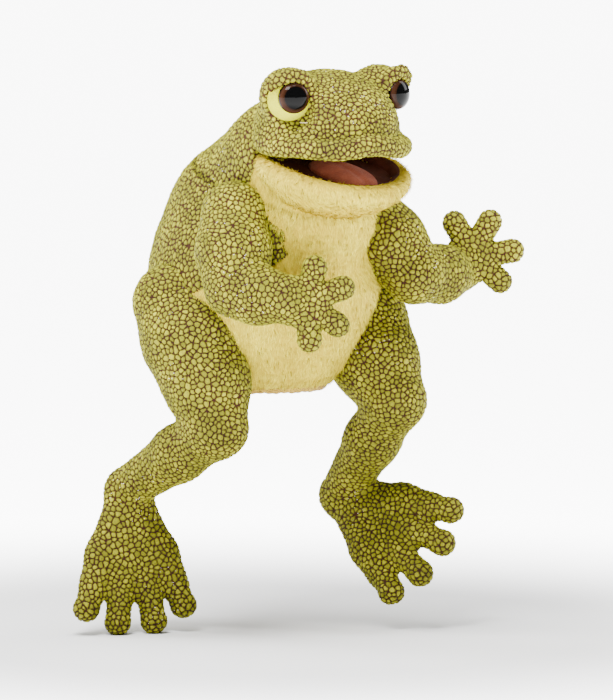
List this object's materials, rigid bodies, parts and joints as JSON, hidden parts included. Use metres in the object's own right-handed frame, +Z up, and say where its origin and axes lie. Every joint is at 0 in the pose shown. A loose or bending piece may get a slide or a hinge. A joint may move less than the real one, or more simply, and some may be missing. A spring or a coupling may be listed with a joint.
{
  "type": "frog hand puppet",
  "caption": "Soft frog glove puppet with a moving mouth, stuffed dangling arms and legs, and an arm opening under the body.",
  "frame": {"origin": "centre of the arm opening, at the inner end of its hem, under the body", "axes": "-Y is the way the frog faces, +Z is up, and +X is the frog's own left"},
  "size_m": [0.2927, 0.212, 0.3819],
  "materials": {
    "scale_fabric": "raised pebbled scales, yellow-green on brown",
    "belly_plush": "short pale yellow pile",
    "eye_patch_velour": "bright yellow velour",
    "eye_plastic": "clear dome, brown iris, black pupil",
    "washer_plastic": "moulded",
    "mouth_velour": "dark brown velour",
    "tongue_velour": "red-brown velour",
    "lining_cloth": "plain woven",
    "hem_binding": "woven, stitched",
    "mouth_board": "stiff board",
    "polyester_stuffing": "loose fibre"
  },
  "bodies": {
    "body": {"back_panel": "scale_fabric", "belly_panel": "belly_plush", "body_wadding": "polyester_stuffing", "body_lining": "lining_cloth", "opening_hem": "hem_binding"},
    "neck": {"neck_panel": "scale_fabric", "throat_panel": "belly_plush", "neck_lining": "lining_cloth"},
    "head": {"head_panel": "scale_fabric", "head_stuffing": "polyester_stuffing", "brow_right": "scale_fabric", "brow_left": "scale_fabric", "eye_patch_right": "eye_patch_velour", "eye_patch_left": "eye_patch_velour", "eye_right": "eye_plastic", "eye_left": "eye_plastic", "eye_washers": "washer_plastic", "upper_lip": "scale_fabric", "upper_mouth_lining": "mouth_velour", "upper_mouth_board": "mouth_board", "finger_pocket": "lining_cloth"},
    "jaw": {"chin_panel": "belly_plush", "jaw_stuffing": "polyester_stuffing", "lower_lip": "belly_plush", "lower_mouth_lining": "mouth_velour", "lower_mouth_board": "mouth_board", "thumb_pocket": "lining_cloth", "tongue": "tongue_velour"},
    "upper_arm_right": {"upper_arm_right": "scale_fabric", "upper_arm_stuffing_right": "polyester_stuffing"},
    "forearm_right": {"forearm_right": "scale_fabric", "forearm_stuffing_right": "polyester_stuffing"},
    "hand_right": {"hand_right": "scale_fabric", "hand_stuffing_right": "polyester_stuffing"},
    "thigh_right": {"thigh_right": "scale_fabric", "thigh_stuffing_right": "polyester_stuffing"},
    "shin_right": {"shin_right": "scale_fabric", "shin_stuffing_right": "polyester_stuffing"},
    "foot_right": {"foot_right": "scale_fabric", "foot_stuffing_right": "polyester_stuffing"},
    "upper_arm_left": {"upper_arm_left": "scale_fabric", "upper_arm_stuffing_left": "polyester_stuffing"},
    "forearm_left": {"forearm_left": "scale_fabric", "forearm_stuffing_left": "polyester_stuffing"},
    "hand_left": {"hand_left": "scale_fabric", "hand_stuffing_left": "polyester_stuffing"},
    "thigh_left": {"thigh_left": "scale_fabric", "thigh_stuffing_left": "polyester_stuffing"},
    "shin_left": {"shin_left": "scale_fabric", "shin_stuffing_left": "polyester_stuffing"},
    "foot_left": {"foot_left": "scale_fabric", "foot_stuffing_left": "polyester_stuffing"}
  },
  "joints": [
    {"name": "head_turn", "type": "hinge", "parent": "body", "child": "neck", "pos_m": [0, -0.028, 0.132], "axis": [0, 0, 1], "range_deg": [-8, 8]},
    {"name": "head_nod", "type": "hinge", "parent": "neck", "child": "head", "pos_m": [0, -0.028, 0.132], "axis": [1, 0, 0], "range_deg": [-15, 4]},
    {"name": "jaw_open", "type": "hinge", "parent": "head", "child": "jaw", "pos_m": [0, -0.062, 0.153], "axis": [1, 0, 0], "range_deg": [-13, 11]},
    {"name": "shoulder_right", "type": "hinge", "parent": "body", "child": "upper_arm_right", "pos_m": [-0.054, -0.044, 0.112], "axis": [-1, 0, 0], "range_deg": [-1, 11]},
    {"name": "elbow_right", "type": "hinge", "parent": "upper_arm_right", "child": "forearm_right", "pos_m": [-0.0737, -0.05995, 0.06432], "axis": [-0.7008, -0.5372, 0.4693], "range_deg": [-35, 0]},
    {"name": "wrist_right", "type": "hinge", "parent": "forearm_right", "child": "hand_right", "pos_m": [-0.04477, -0.09699, 0.06514], "axis": [0.0714, -0.05, 0.9962], "range_deg": [-30, 30]},
    {"name": "hip_right", "type": "hinge", "parent": "body", "child": "thigh_right", "pos_m": [-0.062, -0.003, 0.055], "axis": [-1, 0, 0], "range_deg": [-20, 14]},
    {"name": "knee_right", "type": "hinge", "parent": "thigh_right", "child": "shin_right", "pos_m": [-0.06387, -0.03874, -0.02539], "axis": [0.986, 0.1428, -0.0865], "range_deg": [-40, 15]},
    {"name": "ankle_right", "type": "hinge", "parent": "shin_right", "child": "foot_right", "pos_m": [-0.07973, 0.04282, -0.07145], "axis": [-0.986, -0.1448, 0.0829], "range_deg": [-30, 25]},
    {"name": "shoulder_left", "type": "hinge", "parent": "body", "child": "upper_arm_left", "pos_m": [0.054, -0.044, 0.112], "axis": [-1, 0, 0], "range_deg": [-3, 15]},
    {"name": "elbow_left", "type": "hinge", "parent": "upper_arm_left", "child": "forearm_left", "pos_m": [0.07791, -0.06709, 0.06945], "axis": [0.184, -0.8168, 0.5467], "range_deg": [-35, 15]},
    {"name": "wrist_left", "type": "hinge", "parent": "forearm_left", "child": "hand_left", "pos_m": [0.12349, -0.05573, 0.07109], "axis": [-0.4698, 0.329, 0.8191], "range_deg": [-30, 30]},
    {"name": "hip_left", "type": "hinge", "parent": "body", "child": "thigh_left", "pos_m": [0.062, -0.003, 0.055], "axis": [-1, 0, 0], "range_deg": [-35, 4]},
    {"name": "knee_left", "type": "hinge", "parent": "thigh_left", "child": "shin_left", "pos_m": [0.06595, -0.05943, -0.01241], "axis": [0.9988, 0.0138, 0.0469], "range_deg": [-40, 15]},
    {"name": "ankle_left", "type": "hinge", "parent": "shin_left", "child": "foot_left", "pos_m": [0.06825, 0.00652, -0.08075], "axis": [-0.9748, -0.1432, -0.1711], "range_deg": [-35, 0]}
  ]
}
